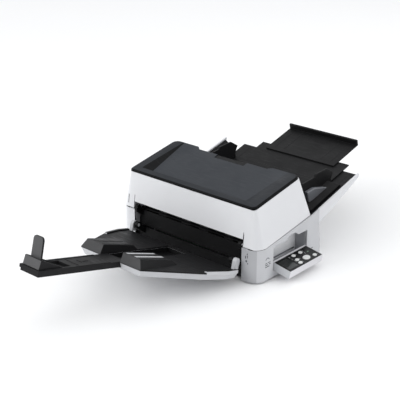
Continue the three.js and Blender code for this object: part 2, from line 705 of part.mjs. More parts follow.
function addExtensions(parent) {
  add(parent, 'chute_extension_inner', block(-140, 140, 140, 262, -12.9, -9.4), BLACK);
  const grip = join(block(-110, 110, 236, 352, -8.8, -5.8), block(-110, 110, 346, 352, -8.8, 8));
  add(parent, 'chute_extension_outer', grip, BLACK);
}

// ---- Operator panel -----------------------------------------------------------------------

const FACE_TOP = 16;
const SMALL_BUTTONS = [[11, -93], [12, -68], [27, -100], [39, -103], [39, -47]];
const LARGE_BUTTON = [34, -73];

function ovalGeometry(x, y, radiusX, radiusY, z0, z1) {
  return rodZ(0, 0, 1, z0, z1, 24).scale(radiusX, radiusY, 1).translate(x, y, 0);
}

function addOperatorPanel(parent) {
  const outline = new THREE.Shape();
  outline.moveTo(50, -2);
  outline.lineTo(50, FACE_TOP);
  outline.lineTo(-4, FACE_TOP);
  outline.lineTo(-4, 0);
  outline.absarc(0, 0, 4, Math.PI, 1.5 * Math.PI, false);
  outline.lineTo(48, -4);
  const housing = cut(
    alongY(outline, PANEL_Y0, PANEL_Y1),
    block(1.2, 48.4, PANEL_Y0 + 1.6, PANEL_Y1 - 1.6, FACE_TOP - 2, FACE_TOP + 2),
    block(3.5, 45, PANEL_Y0 + 6, PANEL_Y1 - 6, 3, FACE_TOP + 2),
  );
  add(parent, 'panel_housing', housing, WHITE);
  const screen = { x0: 7, x1: 43, y0: -148, y1: -114 };
  const buttons = [...SMALL_BUTTONS.map(([x, y]) => [x, y, 4.6, 6]), [...LARGE_BUTTON, 8, 11]];
  const openings = buttons.map(([x, y, rx, ry]) => ovalGeometry(x, y, rx + 0.4, ry + 0.4, 5, 25));
  add(parent, 'panel_face', cut(
    block(1.6, 48, PANEL_Y0 + 2, PANEL_Y1 - 2, FACE_TOP - 1.7, FACE_TOP + 0.2),
    block(screen.x0, screen.x1, screen.y0, screen.y1, 10, 25),
    ...openings,
  ), BLACK);
  const clear = 0.3;
  add(parent, 'panel_screen', block(
    screen.x0 + clear, screen.x1 - clear, screen.y0 + clear, screen.y1 - clear,
    FACE_TOP - 2.4, FACE_TOP - 0.2,
  ), SCREEN);
  buttons.forEach(([x, y, rx, ry], i) => {
    const name = i < SMALL_BUTTONS.length ? `panel_button_${i + 1}` : 'panel_button_scan';
    add(parent, name, ovalGeometry(x, y, rx, ry, FACE_TOP - 3, FACE_TOP + 1.4), BUTTON);
  });
}

// ---- Assembly -----------------------------------------------------------------------------

function groupAt(parent, [x, y, z], turnX = 0, turnY = 0) {
  const group = new THREE.Group();
  group.position.set(x, y, z);
  group.rotation.set(turnX, turnY, 0);
  parent.add(group);
  return group;
}

const scanner = new THREE.Group();
addBaseHousing(scanner);
addBottom(scanner);
addPocketLiner(scanner);
addFrames(scanner);
addLowerGuide(scanner);
addExitPanel(scanner);
addDrive(scanner);
addElectrics(scanner);
addPowerSwitch(scanner);
addRollers(scanner, LOWER_ROLLERS, 176, true);

addUpperShell(scanner);
addTopCover(scanner);
addUpperGuide(scanner);
addRearGuide(scanner);
addRollers(scanner, UPPER_ROLLERS, 164, false);

const stacker = groupAt(scanner, PIVOT_STACKER, -STACKER_TILT);
addStacker(stacker);
addStackerArm(stacker);
addStopperFlap(stacker);

const chute = groupAt(scanner, [0, 0, CHUTE_Z], CHUTE_TILT);
addChute(scanner, chute);
addLiftPlate(chute);
addGuides(chute);
addExtensions(chute);

const panel = groupAt(scanner, PANEL_PIVOT, 0, PANEL_TILT);
addOperatorPanel(panel);

// The origin is at the middle of the whole footprint, on the desk.
const extent = new THREE.Box3().setFromObject(scanner);
const centre = extent.getCenter(new THREE.Vector3());
scanner.position.set(-centre.x, -centre.y, -extent.min.z);

export default scanner;
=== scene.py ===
"""A sheet fed document scanner, dressed for rendering: rounded housings, moulded plastic, rollers,
controls and small fittings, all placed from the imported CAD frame.

The scene is in metres, with +Z up and +Y to the rear along the paper path. Small pieces are drawn in
millimetres in a local frame, and moved to their place."""
import json
import math

import bmesh
import bpy
from mathutils import Matrix, Vector


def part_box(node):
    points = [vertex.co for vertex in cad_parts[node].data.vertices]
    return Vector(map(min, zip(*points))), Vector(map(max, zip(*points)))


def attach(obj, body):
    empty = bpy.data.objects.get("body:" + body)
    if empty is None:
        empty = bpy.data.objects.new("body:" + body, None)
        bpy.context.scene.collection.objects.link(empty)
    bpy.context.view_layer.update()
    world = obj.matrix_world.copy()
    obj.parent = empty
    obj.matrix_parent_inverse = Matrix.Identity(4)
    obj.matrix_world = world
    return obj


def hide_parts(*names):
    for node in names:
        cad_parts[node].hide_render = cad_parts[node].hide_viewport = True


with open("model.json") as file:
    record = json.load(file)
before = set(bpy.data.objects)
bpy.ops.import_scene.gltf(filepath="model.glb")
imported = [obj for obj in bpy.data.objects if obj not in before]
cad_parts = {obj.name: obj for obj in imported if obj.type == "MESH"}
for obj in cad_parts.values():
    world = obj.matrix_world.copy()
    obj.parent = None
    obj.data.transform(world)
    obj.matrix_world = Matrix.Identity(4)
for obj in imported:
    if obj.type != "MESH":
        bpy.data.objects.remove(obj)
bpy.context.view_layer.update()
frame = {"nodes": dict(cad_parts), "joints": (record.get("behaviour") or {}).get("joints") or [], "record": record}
NODES = frame["nodes"]
JOINTS = {joint["name"]: joint for joint in frame["joints"]}
BODY_OF = {
    node: body
    for body, nodes in frame["record"]["behaviour"]["bodies"].items()
    for node in nodes
}
SLOT_OF = {part["node"]: part["material_slot"] for part in frame["record"]["subparts"]}
MM = 0.001

# ---- Local frames, in millimetres, read off the joints -----------------------------------------------


def frame_at(origin, x, y):
    """A frame at origin (metres) whose own unit is the millimetre, with its axes along x and y."""
    x, y = Vector(x).normalized(), Vector(y).normalized()
    turn = Matrix((x, y, x.cross(y))).transposed().to_4x4()
    return Matrix.Translation(origin) @ turn @ Matrix.Scale(MM, 4)


def middle(node):
    low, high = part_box(node)
    return (low + high) / 2


FOOT_X = 192                         # the front right foot, from the body's centre plane
FOOT_Y = -194                        # and from its datum
foot = middle("foot_front_right")
BODY_ORIGIN = Vector((foot.x - FOOT_X * MM, foot.y - FOOT_Y * MM, 0))
BODY = frame_at(BODY_ORIGIN, (1, 0, 0), (0, 1, 0))

STACKER = frame_at(JOINTS["stacker_fold"]["pos_m"], (1, 0, 0), -Vector(JOINTS["arm_slide"]["axis"]))

LIFT_HINGE = Vector((0, 158, -1.5))  # the lift plate's hinge, in the chute's frame
chute_turn = frame_at((0, 0, 0), (1, 0, 0), JOINTS["extension_inner_slide"]["axis"])
chute_origin = Vector(JOINTS["lift_plate_rise"]["pos_m"]) - chute_turn @ LIFT_HINGE
CHUTE = Matrix.Translation(chute_origin) @ chute_turn

panel_up = -Vector(JOINTS["panel_button_scan_press"]["axis"])
panel_pivot = JOINTS["panel_open"]["pos_m"]
panel_out = Vector((0, 1, 0)).cross(panel_up)
PANEL = frame_at((panel_pivot[0], BODY_ORIGIN.y, panel_pivot[2]), panel_out, (0, 1, 0))

# ---- Materials ---------------------------------------------------------------------------------------


def linear(r, g, b):
    """An sRGB colour, 0 to 255, as linear RGBA."""
    channels = [((c / 255 + 0.055) / 1.055) ** 2.4 if c > 10 else c / 255 / 12.92 for c in (r, g, b)]
    return (*channels, 1.0)


def map_range(tree, source, low, high, to_low, to_high):
    node = tree.nodes.new("ShaderNodeMapRange")
    limits = {"From Min": low, "From Max": high, "To Min": to_low, "To Max": to_high}
    for name, value in limits.items():
        node.inputs[name].default_value = value
    tree.links.new(source, node.inputs["Value"])
    return node.outputs["Result"]


class Look:
    """A Principled material, with short calls for the nodes that give it its detail."""

    def __init__(self, name, roughness, metallic=0.0):
        self.material = bpy.data.materials.new(name)
        self.material.use_nodes = True
        self.tree = self.material.node_tree
        self.shader = self.tree.nodes["Principled BSDF"]
        self.shader.inputs["Metallic"].default_value = metallic
        self.shader.inputs["Roughness"].default_value = roughness
        self.place = self.tree.nodes.new("ShaderNodeTexCoord").outputs["Object"]

    def link(self, source, target):
        self.tree.links.new(source, target)

    def noise(self, scale, detail=2.0, stretch=None):
        node = self.tree.nodes.new("ShaderNodeTexNoise")
        node.inputs["Scale"].default_value = scale
        node.inputs["Detail"].default_value = detail
        place = self.place
        if stretch:
            mapping = self.tree.nodes.new("ShaderNodeMapping")
            mapping.inputs["Scale"].default_value = stretch
            self.link(place, mapping.inputs["Vector"])
            place = mapping.outputs["Vector"]
        self.link(place, node.inputs["Vector"])
        return node.outputs["Fac"]

    def ramp(self, source, low, high, to_low, to_high):
        """Maps low..high of the source to to_low..to_high."""
        return map_range(self.tree, source, low, high, to_low, to_high)

    def mix(self, factor, first, second):
        node = self.tree.nodes.new("ShaderNodeMix")
        node.data_type = "RGBA"
        self.link(factor, node.inputs["Factor"])
        for name, value in (("A", first), ("B", second)):
            socket = next(s for s in node.inputs if s.name == name and s.type == "RGBA")
            if isinstance(value, tuple):
                socket.default_value = value
            else:
                self.link(value, socket)
        return next(s for s in node.outputs if s.type == "RGBA")

    def combine(self, first, second, operation):
        node = self.tree.nodes.new("ShaderNodeMath")
        node.operation = operation
        self.link(first, node.inputs[0])
        self.link(second, node.inputs[1])
        return node.outputs[0]

    def bump(self, height, strength, distance):
        node = self.tree.nodes.new("ShaderNodeBump")
        node.inputs["Strength"].default_value = strength
        node.inputs["Distance"].default_value = distance
        self.link(height, node.inputs["Height"])
        self.link(node.outputs["Normal"], self.shader.inputs["Normal"])

    def edges(self, low, high, amount):
        """How far a point is on an outside edge, from 0 to amount."""
        geometry = self.tree.nodes.new("ShaderNodeNewGeometry")
        return self.ramp(geometry.outputs["Pointiness"], low, high, 0.0, amount)

    def colour(self, source):
        self.link(source, self.shader.inputs["Base Color"])

    def rough(self, source):
        self.link(source, self.shader.inputs["Roughness"])


def shade(colour, factor):
    return tuple(min(1.0, c * factor) for c in colour[:3]) + (1.0,)


# Noise scales, in waves a metre
FLOW_SCALE = 7
PATCH_SCALE = 16
SCUFF_SCALE = 38
FINE_GRAIN_SCALE = 1300
COARSE_GRAIN_SCALE = 420
SPECK_SCALE = 900
GRAIN_DEPTH = 0.00012                # metres
EDGE_LOW, EDGE_HIGH = 0.52, 0.62     # pointiness where an edge starts to show wear, and where it is full


def moulded(name, rgb, roughness, grain=0.25, wear=0.35, coat=0.0, specular=0.45):
    """Injection moulded plastic: spark-eroded grain, faint flow marks, rubbed edges and scuffs."""
    look = Look(name, roughness)
    base = linear(*rgb)
    flow = look.ramp(look.noise(FLOW_SCALE, 4), 0.35, 0.65, 0.0, 1.0)
    body = look.mix(flow, shade(base, 0.965), shade(base, 1.03))
    speck = look.ramp(look.noise(SPECK_SCALE, 1), 0.3, 0.7, 0.0, 0.10)
    body = look.mix(speck, body, shade(base, 0.8))
    body = look.mix(look.edges(EDGE_LOW, EDGE_HIGH, wear), body, shade(base, 1.5))
    look.colour(body)
    scuff = look.ramp(look.noise(SCUFF_SCALE, 5, (1, 6, 2)), 0.52, 0.72, 0.0, 0.14)
    patch = look.ramp(look.noise(PATCH_SCALE, 3), 0.3, 0.7, roughness - 0.05, roughness + 0.07)
    look.rough(look.combine(patch, scuff, "SUBTRACT"))
    grains = look.combine(look.noise(FINE_GRAIN_SCALE, 2), look.noise(COARSE_GRAIN_SCALE, 2), "ADD")
    look.bump(grains, grain, GRAIN_DEPTH)
    look.shader.inputs["Coat Weight"].default_value = coat
    look.shader.inputs["Coat Roughness"].default_value = 0.25
    look.shader.inputs["Specular IOR Level"].default_value = specular
    return look.material


def brushed(name, rgb, roughness, stretch=(1, 30, 30)):
    """Metal with fine lines along one axis."""
    look = Look(name, roughness, metallic=1.0)
    base = linear(*rgb)
    lines = look.noise(60, 3, stretch)
    look.colour(look.mix(look.ramp(lines, 0.3, 0.7, 0.0, 1.0), shade(base, 0.88), shade(base, 1.08)))
    look.rough(look.ramp(lines, 0.3, 0.7, roughness - 0.06, roughness + 0.1))
    look.bump(lines, 0.15, 0.0001)
    return look.material


def rubber(name, rgb):
    """Matt rubber with paper dust and worn edges."""
    look = Look(name, 0.8)
    base = linear(*rgb)
    dust = look.ramp(look.noise(45, 4), 0.45, 0.75, 0.0, 0.35)
    body = look.mix(dust, base, shade(base, 2.0))
    look.colour(look.mix(look.edges(EDGE_LOW, EDGE_HIGH, 0.4), body, shade(base, 2.6)))
    look.rough(look.ramp(look.noise(120, 3), 0.3, 0.7, 0.7, 0.92))
    look.bump(look.noise(700, 2), 0.35, 0.0002)
    return look.material


def glass(name, rgb):
    """Clear plate glass with a few smears."""
    look = Look(name, 0.03)
    base = linear(*rgb)
    look.colour(look.mix(look.ramp(look.noise(20, 3), 0.4, 0.7, 0.0, 0.25), base, shade(base, 0.85)))
    look.rough(look.ramp(look.noise(55, 5), 0.5, 0.8, 0.02, 0.12))
    look.shader.inputs["Transmission Weight"].default_value = 0.85
    look.shader.inputs["IOR"].default_value = 1.5
    return look.material


def display(name, rgb):
    """A switched-off liquid crystal window: a fine dot grid under a clear cover."""
    look = Look(name, 0.22)
    base = linear(*rgb)
    dots = look.tree.nodes.new("ShaderNodeTexBrick")
    dots.offset = 0.0
    dots.inputs["Scale"].default_value = 1200
    dots.inputs["Mortar Size"].default_value = 0.04
    dots.inputs["Color1"].default_value = base
    dots.inputs["Color2"].default_value = shade(base, 1.12)
    dots.inputs["Mortar"].default_value = shade(base, 0.7)
    look.link(look.place, dots.inputs["Vector"])
    film = look.ramp(look.noise(30, 3), 0.4, 0.7, 0.0, 0.4)
    look.colour(look.mix(film, dots.outputs["Color"], shade(base, 1.25)))
    look.rough(look.ramp(look.noise(60, 4), 0.45, 0.75, 0.12, 0.3))
    look.shader.inputs["Coat Weight"].default_value = 0.6
    look.shader.inputs["Coat Roughness"].default_value = 0.06
    return look.material


WHITE = moulded("shell_plastic", (216, 217, 220), 0.45, grain=0.16, wear=0.15)
GREY = moulded("base_plastic", (194, 195, 198), 0.48, grain=0.18, wear=0.15)
# Painted shade: a darker grey drawn on the right column's front.
COLUMN_SHADE = moulded("column_front_painted_shade", (172, 173, 176), 0.48, grain=0.18, wear=0.15)
PANEL_WHITE = moulded("panel_plastic", (216, 215, 219), 0.42, grain=0.16, wear=0.2)
# The pocket in a darker grey as painted shade for its depth, and its back wall in a near white as painted light.
POCKET_SHADE = moulded("pocket_painted_shade", (168, 169, 173), 0.5, grain=0.2, wear=0.1)
POCKET_BACK_LIGHT = moulded("pocket_back_wall_painted_light", (240, 241, 243), 0.5, grain=0.2, wear=0.1)
# A darker copy of the panel's white for its front-facing faces: painted shade.
PANEL_FRONT_SHADE = moulded("panel_front_painted_shade", (186, 188, 191), 0.45, grain=0.2, wear=0.1)
COVER = moulded("cover_plastic", (41, 45, 51), 0.42, grain=0.3, wear=0.1, specular=0.22)
# Darker copies of the cover's black for its rim, walls and edges: painted shade.
COVER_RIM_SHADE = moulded("cover_rim_painted_shade", (33, 36, 41), 0.46, grain=0.3, wear=0.1, specular=0.16)
COVER_WALL_SHADE = moulded("cover_wall_painted_shade", (12, 13, 14), 0.55, grain=0.3, wear=0.1, specular=0.08)
TRAY = moulded("tray_plastic", (33, 33, 34), 0.52, grain=0.4, wear=0.12, specular=0.09)
# A lighter copy of the tray's black for the lips' fronts: painted light.
LIP_FRONT_LIGHT = moulded("lip_front_painted_light", (64, 64, 65), 0.5, grain=0.4, wear=0.12, specular=0.2)
# A lighter copy of the tray's black for the front-facing faces of the tip and the flap: painted light.
TIP_FRONT_LIGHT = moulded("tip_front_painted_light", (80, 80, 81), 0.5, grain=0.4, wear=0.12, specular=0.2)
BLACK = moulded("inner_plastic", (19, 19, 20), 0.55, grain=0.35, wear=0.1, specular=0.16)
FACE = moulded("face_plastic", (10, 11, 11), 0.34, grain=0.08, wear=0.1, coat=0.1, specular=0.25)
KEY = moulded("key_plastic", (226, 227, 226), 0.33, grain=0.05, wear=0.1)
# Grey insert plastic, and also the strip of painted shadow on the pocket's back wall.
INSERT_AND_SHADOW = moulded("insert_plastic_and_painted_shadow", (112, 114, 119), 0.4, grain=0.2, wear=0.2)
# Light grey for the panel's printed ticks, and for the painted highlights on the right lip's ribs.
PRINT_AND_HIGHLIGHT = moulded("tick_print_and_rib_highlight", (196, 197, 199), 0.32, grain=0.12, wear=0.1)
MARK = moulded("mark_ink", (84, 86, 90), 0.5, grain=0.05, wear=0.0)
GROOVE = moulded("groove_shadow", (26, 26, 28), 0.7, grain=0.1, wear=0.0)
LAMP = moulded("lamp_window", (120, 150, 128), 0.2, grain=0.03, wear=0.0, coat=0.5)
STEEL = brushed("zinc_plate", (186, 188, 192), 0.34)
DARK_STEEL = brushed("coated_plate", (44, 45, 47), 0.5)
SHAFT = brushed("ground_shaft", (176, 178, 182), 0.24, (1, 50, 50))
BRASS = brushed("contact_brass", (206, 178, 110), 0.3)
TYRE = rubber("roller_rubber", (52, 52, 54))
FOOT = rubber("foot_rubber", (34, 34, 35))
GLASS = glass("scan_glass", (205, 225, 218))
SCREEN = display("display_window", (34, 38, 36))
BOARD = moulded("solder_mask", (32, 88, 58), 0.35, grain=0.1, wear=0.0, coat=0.4)

SLOT_LOOK = {
    "housing_grey": GREY,
    "shell_white": WHITE,
    "cover_black": COVER,
    "plastic_black": BLACK,
    "rubber": TYRE,
    "steel": STEEL,
    "glass": GLASS,
    "screen": SCREEN,
    "button_grey": KEY,
    "board": BOARD,
}

# ---- Mesh helpers ------------------------------------------------------------------------------------

SMOOTH_UNDER = math.radians(38)      # shallower edges are shaded smoothly
BEVEL_OVER = math.radians(34)        # sharper edges are rounded
FLAT_UNDER = math.radians(0.4)       # triangles this close to one plane are joined into one face
SAME_POINT = 2e-6                    # metres


def rounded(piece, width, segments):
    """Rounds the piece's edges by width (metres) and shades it smoothly."""
    bevel = piece.modifiers.new("rounded_edges", "BEVEL")
    bevel.width = width
    bevel.segments = segments
    bevel.limit_method = "ANGLE"
    bevel.angle_limit = BEVEL_OVER
    bevel.use_clamp_overlap = True
    smooth = piece.modifiers.new("even_shading", "WEIGHTED_NORMAL")
    smooth.keep_sharp = True


def settle(piece, material, body, width, segments):
    """Paints the piece, rounds its edges by width (millimetres) and puts it on its body."""
    for polygon in piece.data.polygons:
        polygon.use_smooth = True
    piece.data.set_sharp_from_angle(angle=SMOOTH_UNDER)
    piece.data.materials.clear()
    piece.data.materials.append(material)
    if width:
        rounded(piece, width * MM, segments)
    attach(piece, body)
    return piece


def add_object(name, data):
    added = bpy.data.objects.new(name, data)
    bpy.context.scene.collection.objects.link(added)
    return added


def is_concave(face):
    return any(not loop.is_convex for loop in face.loops)


def dress(node, material, width, segments=2, cutter=None, others=(), where=None):
    """A copy of a CAD node with rounded edges, which stands in for it.

    where(normal, centre), in metres, picks each face's look: 0 for material, 1 or more for the others.
    """
    mesh = NODES[node].data.copy()
    mesh.name = f"{node}_looks"
    bm = bmesh.new()
    bm.from_mesh(mesh)
    bmesh.ops.remove_doubles(bm, verts=bm.verts, dist=SAME_POINT)
    bmesh.ops.dissolve_limit(bm, angle_limit=FLAT_UNDER, verts=bm.verts, edges=bm.edges)
    concave = [face for face in bm.faces if is_concave(face)]
    bmesh.ops.triangulate(bm, faces=concave, ngon_method="BEAUTY")
    bm.to_mesh(mesh)
    bm.free()
    piece = add_object(f"{node}_looks", mesh)
    if cutter:
        carve(piece, cutter)
    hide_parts(node)
    settle(piece, material, BODY_OF[node], width, segments)
    for other in others:
        piece.data.materials.append(other)
    if others:
        for polygon in piece.data.polygons:
            polygon.material_index = int(where(polygon.normal, polygon.center))
    return piece


def carve(piece, cutter):
    """Cuts the cutter's shape (a bmesh, in metres) out of the piece."""
    mesh = bpy.data.meshes.new("cutter")
    bmesh.ops.recalc_face_normals(cutter, faces=cutter.faces)
    cutter.to_mesh(mesh)
    cutter.free()
    tool = add_object("cutter", mesh)
    boolean = piece.modifiers.new("carved", "BOOLEAN")
    boolean.object = tool
    boolean.operation = "DIFFERENCE"
    boolean.solver = "EXACT"
    bpy.context.view_layer.update()
    evaluated = piece.evaluated_get(bpy.context.evaluated_depsgraph_get())
    done = bpy.data.meshes.new_from_object(evaluated)
    piece.modifiers.clear()
    piece.data = done
    bpy.data.objects.remove(tool)


# Where a prism's outline (u, v) and its place w along the axis go, for each axis
PRISM_POINT = {
    "x": lambda u, v, w: (w, u, v),
    "y": lambda u, v, w: (u, w, v),
    "z": lambda u, v, w: (u, v, w),
}


def round_corner(centre, radius, start, steps):
    """A quarter circle in steps, anticlockwise from start (degrees)."""
    cx, cy = centre
    angles = [math.radians(start + 90 * i / steps) for i in range(steps + 1)]
    return [(cx + radius * math.cos(angle), cy + radius * math.sin(angle)) for angle in angles]


def without_repeats(outline):
    """The closed outline without any point that lies on the next one."""
    following = outline[1:] + outline[:1]
    return [point for point, after in zip(outline, following) if math.dist(point, after) > 1e-4]


class Shapes:
    """Closed shapes gathered into one mesh, drawn in millimetres in a local frame."""

    def __init__(self):
        self.bm = bmesh.new()

    def prism(self, outline, axis, start, end):
        """An outline in the two other axes, run along axis from start to end."""
        point = PRISM_POINT[axis]
        low, high = [[self.bm.verts.new(point(u, v, w)) for u, v in outline] for w in (start, end)]
        self.bm.faces.new(low)
        self.bm.faces.new(high)
        for i in range(len(low)):
            j = (i + 1) % len(low)
            self.bm.faces.new((low[i], low[j], high[j], high[i]))
        return self

    def block(self, x0, x1, y0, y1, z0, z1):
        return self.prism([(x0, y0), (x1, y0), (x1, y1), (x0, y1)], "z", z0, z1)

    def slot(self, x0, x1, y0, y1, z0, z1, steps=5):
        """A plate with fully rounded ends, lying in the x, y plane."""
        radius = min(x1 - x0, y1 - y0) / 2
        outline = [
            *round_corner((x1 - radius, y0 + radius), radius, -90, steps),
            *round_corner((x1 - radius, y1 - radius), radius, 0, steps),
            *round_corner((x0 + radius, y1 - radius), radius, 90, steps),
            *round_corner((x0 + radius, y0 + radius), radius, 180, steps),
        ]
        return self.prism(without_repeats(outline), "z", z0, z1)

    def turned(self, profile, axis, centre, segments=28):
        """A closed turned shape. The profile, (along, radius), starts and ends at radius 0."""
        rings = []
        for along, radius in profile:
            ring = []
            for i in range(segments if radius > 0 else 1):
                angle = 2 * math.pi * i / segments
                u, v = radius * math.cos(angle), radius * math.sin(angle)
                offset = {"x": (along, u, v), "y": (u, along, v), "z": (u, v, along)}[axis]
                ring.append(self.bm.verts.new(Vector(centre) + Vector(offset)))
            rings.append(ring)
        for low, high in zip(rings, rings[1:]):
            for i in range(segments):
                j = (i + 1) % segments
                corners = []
                for ring, at in ((low, i), (low, j), (high, j), (high, i)):
                    vert = ring[at % len(ring)]
                    if vert not in corners:
                        corners.append(vert)
                self.bm.faces.new(corners)
        return self

    def placed(self, place):
        """The bmesh itself, moved to its place in metres."""
        self.bm.transform(place)
        return self.bm

    def mesh(self, name, place):
        """The shapes as one mesh, moved to their place in metres, with their faces outward."""
        bmesh.ops.recalc_face_normals(self.bm, faces=self.bm.faces)
        mesh = bpy.data.meshes.new(name)
        self.placed(place).to_mesh(mesh)
        self.bm.free()
        return mesh

    def piece(self, name, place, material, body, slot, width=0.0, segments=2):
        piece = add_object(name, self.mesh(name, place))
        return settle(piece, material, body, width, segments)


# ---- Camera, light and floor -------------------------------------------------------------------------

CAMERA_AZIMUTH = math.radians(41.5)  # from straight ahead of the scanner to its right
CAMERA_ELEVATION = math.radians(22.1)
CAMERA_DISTANCE = 2.5912             # metres
CAMERA_TARGET = BODY @ Vector((-146.1, 0, 49.3))
CAMERA_LENS = 89.35                  # millimetres
SENSOR_WIDTH = 36


def add_camera():
    """The photo's camera, which looks along -back at its target."""
    back = Vector((
        math.sin(CAMERA_AZIMUTH) * math.cos(CAMERA_ELEVATION),
        -math.cos(CAMERA_AZIMUTH) * math.cos(CAMERA_ELEVATION),
        math.sin(CAMERA_ELEVATION),
    ))
    camera = add_object("camera", bpy.data.cameras.new("camera"))
    camera.data.lens = CAMERA_LENS
    camera.data.sensor_width = SENSOR_WIDTH
    camera.data.clip_end = 50
    camera.location = CAMERA_TARGET + back * CAMERA_DISTANCE
    camera.rotation_mode = "QUATERNION"
    camera.rotation_quaternion = (-back).to_track_quat("-Z", "Y")
    bpy.context.scene.camera = camera


def add_softbox(name, position, target, size, power):
    light = bpy.data.lights.new(name, "AREA")
    light.shape = "RECTANGLE"
    light.size, light.size_y = size
    light.energy = power
    lamp = add_object(name, light)
    lamp.location = position
    lamp.rotation_mode = "QUATERNION"
    lamp.rotation_quaternion = (Vector(target) - Vector(position)).to_track_quat("-Z", "Y")


WORLD_COLOUR = (0.975, 0.985, 1.0, 1)
WORLD_STRENGTH = 1.0
DARK_STRENGTH = 0.25
DARK_SIDE = (0.68, -0.7, 0.2)        # the studio is darker here, which models the rounded front corner
DARK_FROM, DARK_FULL = 0.55, 0.95    # how closely a direction meets that side


def add_world():
    """An even pale studio, darker on one side."""
    world = bpy.data.worlds.new("studio")
    world.use_nodes = True
    tree = world.node_tree
    background = tree.nodes["Background"]
    background.inputs["Color"].default_value = WORLD_COLOUR
    facing = tree.nodes.new("ShaderNodeVectorMath")
    facing.operation = "DOT_PRODUCT"
    facing.inputs[1].default_value = DARK_SIDE
    direction = tree.nodes.new("ShaderNodeTexCoord").outputs["Generated"]
    tree.links.new(direction, facing.inputs[0])
    strength = map_range(tree, facing.outputs["Value"], DARK_FROM, DARK_FULL, WORLD_STRENGTH, DARK_STRENGTH)
    tree.links.new(strength, background.inputs["Strength"])
    bpy.context.scene.world = world


FLOOR_RADIUS = 9000
FLOOR_TOP = -0.2                     # just clear of the feet


def add_floor():
    look = Look("pale_floor", 0.7)
    pale = linear(254, 254, 254)
    clouds = look.ramp(look.noise(0.8, 2), 0.3, 0.7, 0.0, 1.0)
    look.colour(look.mix(clouds, pale, shade(pale, 0.985)))
    disc = Shapes()
    disc.slot(-FLOOR_RADIUS, FLOOR_RADIUS, -FLOOR_RADIUS, FLOOR_RADIUS, -20, FLOOR_TOP, steps=12)
    mesh = disc.mesh("studio_floor", Matrix.Scale(MM, 4))
    mesh.materials.append(look.material)
    add_object("studio_floor", mesh)


def add_studio():
    add_world()
    add_softbox("key_light", (-1.7, -3.0, 1.9), (0, -0.1, 0.1), (2.4, 1.6), 54)
    add_softbox("fill_light", (3.0, 0.6, 1.5), (0, 0, 0.1), (1.8, 1.4), 16)
    add_softbox("back_light", (0.4, 2.4, 2.3), (0, 0.1, 0.1), (2.4, 1.2), 8)
    add_floor()
    bpy.context.scene.view_settings.view_transform = "Standard"


# ---- Base --------------------------------------------------------------------------------------------

HALF_WIDTH = 216                     # from the centre plane to the sides and to the columns' front
COLUMN_CENTRE = 188                  # the round corners' centre line, in x and in -y
MARK_RELIEF = 0.06
VENT_WIDTH = 5
VENT_PITCH = 11


def rectangle(u, v, width, height):
    return [(u, v), (u + width, v), (u + width, v + height), (u, v + height)]


def vent_cutter():
    """Louvre slots through the rear wall and the left side."""
    vents = Shapes()
    for i in range(12):
        vents.prism(rectangle(40 + i * VENT_PITCH, 52, VENT_WIDTH, 20), "y", 12, 60)
    for i in range(10):
        slot = rectangle(-150 + i * VENT_PITCH, 30, VENT_WIDTH, 22)
        vents.prism(slot, "x", -HALF_WIDTH - 4, -HALF_WIDTH + 6)
    return vents.placed(BODY)


def base_look(normal, point):
    """1 for the low wall under the exit, with its lugs; 2 for the right column's front, in a darker grey as
    painted shade; 3 for the left column's front, in the shell's white as painted light; 0 for the rest."""
    under_exit = abs(point.x) < 170 and -240 < point.y < -200.5 and point.z < 64
    if under_exit:
        return 1
    column_front = normal.y < -0.65 and point.y < -187
    if column_front:
        return 2 if point.x > 0 else 3
    return 0


def add_base():
    to_body = BODY.inverted()
    # The right column's front takes painted shade, and the left column's front the shell's white as painted light.
    dress("base_housing", GREY, 1.1, cutter=vent_cutter(), others=[BLACK, COLUMN_SHADE, WHITE],
          where=lambda normal, centre: base_look(normal, to_body @ centre))
    # The pocket's back wall is painted lighter and the rest of it darker: painted light and painted shade.
    dress("panel_pocket", POCKET_SHADE, 0.8, others=[POCKET_BACK_LIGHT],
          where=lambda normal, centre: normal.x > 0.7)
    dress("exit_panel", BLACK, 0.5)
    # A grey strip on the pocket's back wall, just above the panel's edge: painted shadow.
    groove = Shapes()
    groove.block(181.2, 182.4, -152, -32, 24, 27.5)
    groove.piece("pocket_painted_shadow", BODY, INSERT_AND_SHADOW, "base", "housing_grey", 0.2)
    for node in ("lower_paper_guide", "upper_paper_guide", "rear_guide"):
        dress(node, BLACK, 0.35)
    for corner in ("front_right", "front_left", "rear_right", "rear_left"):
        dress(f"foot_{corner}", FOOT, 0.7, 3)


def add_front_marks():
    """Small printed marks without meaning on the front of the right column."""
    marks = Shapes()
    for outline in (
        [(184.5, 71), (188.5, 71), (187, 76.5)],
        [(180, 61), (183, 61), (183.6, 68), (181, 68)],
        [(186.5, 63), (188.4, 63), (188.4, 70), (186.5, 70)],
        [(180.5, 55.5), (184, 51.5), (187, 54), (185.6, 58.5)],
        [(187, 48), (189.4, 48), (189.4, 51.5), (187, 51.5)],
    ):
        marks.prism(outline, "y", -HALF_WIDTH - MARK_RELIEF, -HALF_WIDTH + 0.4)
    marks.piece("column_marks_front", BODY, MARK, "base", "housing_grey")


def add_side_marks():
    """An arc over short lines on the right column's side, printed and without meaning."""
    marks = Shapes()
    steps = [math.radians(20 * i) for i in range(10)]
    outer = [(-179 + 7 * math.cos(a), 55 + 5.5 * math.sin(a)) for a in steps]
    inner = [(-179 + 5 * math.cos(a), 55 + 3.6 * math.sin(a)) for a in reversed(steps)]
    start, end = HALF_WIDTH - 0.3, HALF_WIDTH + MARK_RELIEF
    marks.prism(outer + inner, "x", start, end)
    for y, z, length in ((-187, 46, 7), (-177, 46, 9), (-187, 41.5, 10), (-173, 41.5, 6), (-187, 37, 15)):
        marks.prism(rectangle(y, z, length, 2.2), "x", start, end)
    marks.piece("column_marks_side", BODY, MARK, "base", "housing_grey")


